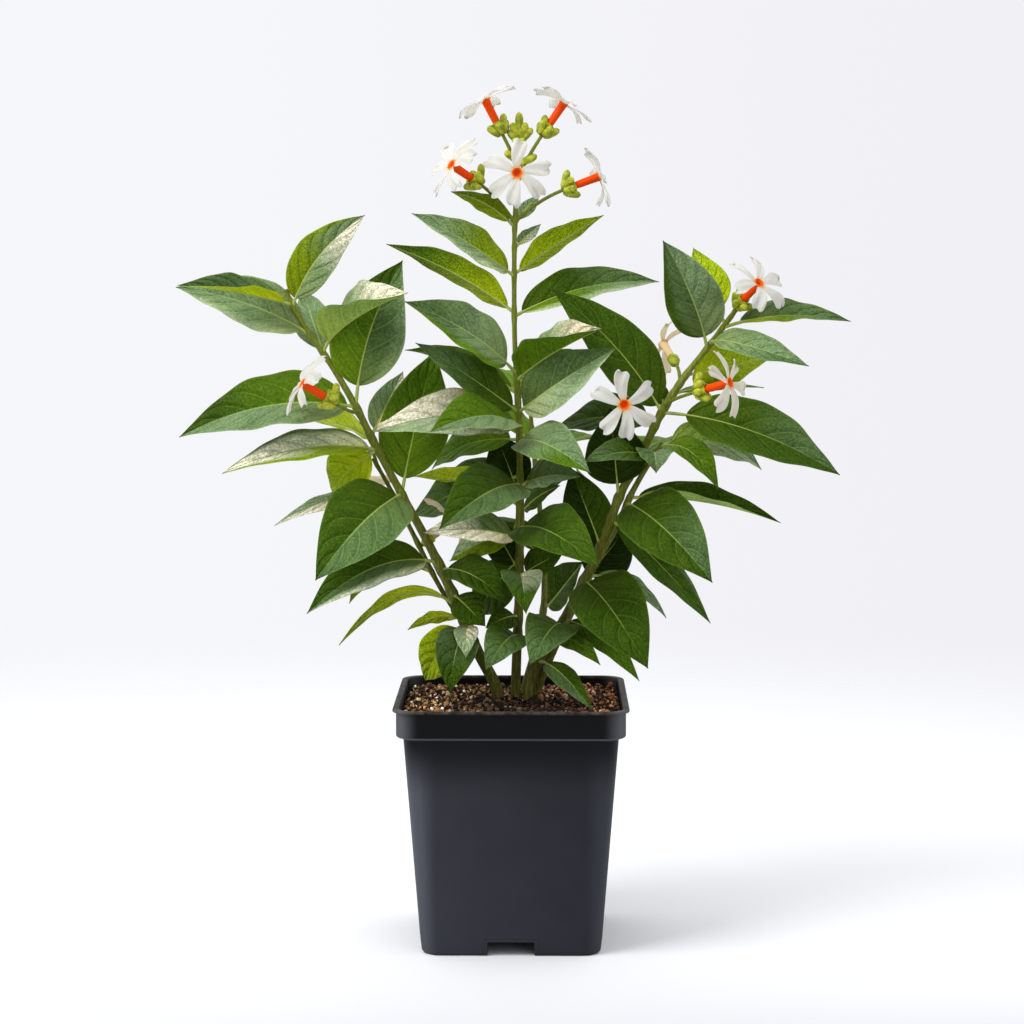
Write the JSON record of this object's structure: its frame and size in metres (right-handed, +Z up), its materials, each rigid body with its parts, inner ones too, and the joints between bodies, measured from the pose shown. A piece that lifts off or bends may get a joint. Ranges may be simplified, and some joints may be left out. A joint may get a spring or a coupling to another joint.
{
  "type": "potted night-flowering jasmine",
  "caption": "Bushy night-flowering jasmine with white pinwheel blooms on orange tubes, growing from potting mix in a square tapered nursery pot with a collar.",
  "frame": {"origin": "middle of the flat underside of the pot's base, on the surface that the pot stands on", "axes": "+Z up along the middle stem, -Y towards the viewer of the picture, +X to that viewer's right"},
  "size_m": [0.3726, 0.1971, 0.4822],
  "materials": {
    "pot": "satin moulded black plastic, slightly worn on the lip",
    "potting_mix": "matt granular bark and clay crumbs",
    "foliage": "soft satin green leaves with pale veins, olive stems, yellow-green buds",
    "petal": "soft matt white petal",
    "flower_tube": "soft satin orange-red petal tube"
  },
  "bodies": {
    "root": {"pot": "pot", "potting_mix": "potting_mix", "centre_leafy_stem": "foliage", "left_leafy_stem": "foliage", "right_leafy_stem": "foliage", "back_leafy_stem": "foliage", "top_left_petals": "petal", "top_left_tube": "flower_tube", "top_right_petals": "petal", "top_right_tube": "flower_tube", "upper_left_petals": "petal", "upper_left_tube": "flower_tube", "front_petals": "petal", "front_tube": "flower_tube", "upper_right_petals": "petal", "upper_right_tube": "flower_tube", "left_side_petals": "petal", "left_side_tube": "flower_tube", "right_top_petals": "petal", "right_top_tube": "flower_tube", "right_side_petals": "petal", "right_side_tube": "flower_tube", "right_front_petals": "petal", "right_front_tube": "flower_tube", "right_back_petals": "petal", "right_back_tube": "flower_tube", "left_faded_petals": "petal", "left_faded_tube": "flower_tube", "left_back_petals": "petal", "left_back_tube": "flower_tube"}
  },
  "joints": []
}
